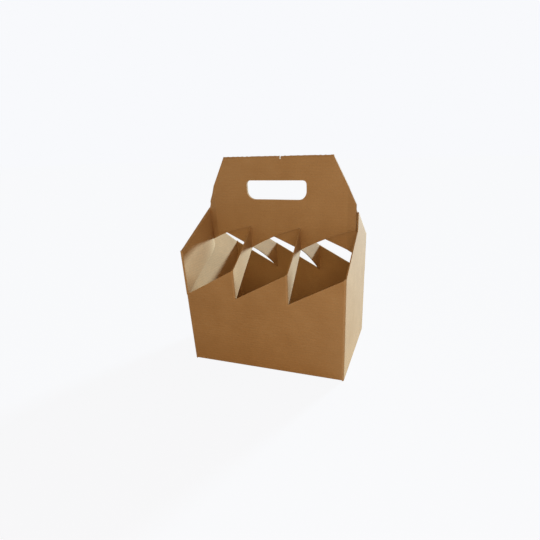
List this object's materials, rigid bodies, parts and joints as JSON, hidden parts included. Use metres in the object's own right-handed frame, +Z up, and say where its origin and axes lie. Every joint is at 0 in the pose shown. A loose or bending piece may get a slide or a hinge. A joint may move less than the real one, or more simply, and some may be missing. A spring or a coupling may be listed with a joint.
{
  "type": "bottle carrier box",
  "caption": "Kraft corrugated carton for carrying bottles: sawtooth-edged open box, strap dividers, central two-ply handle with a hand hole.",
  "frame": {"origin": "middle of the underside, on the floor", "axes": "+Z up, +X along the handle to the right, the front panel faces -Y"},
  "size_m": [0.2, 0.144, 0.248],
  "materials": {
    "kraft_board": "matte"
  },
  "bodies": {
    "root": {"bottle_carrier": "kraft_board"}
  },
  "joints": []
}
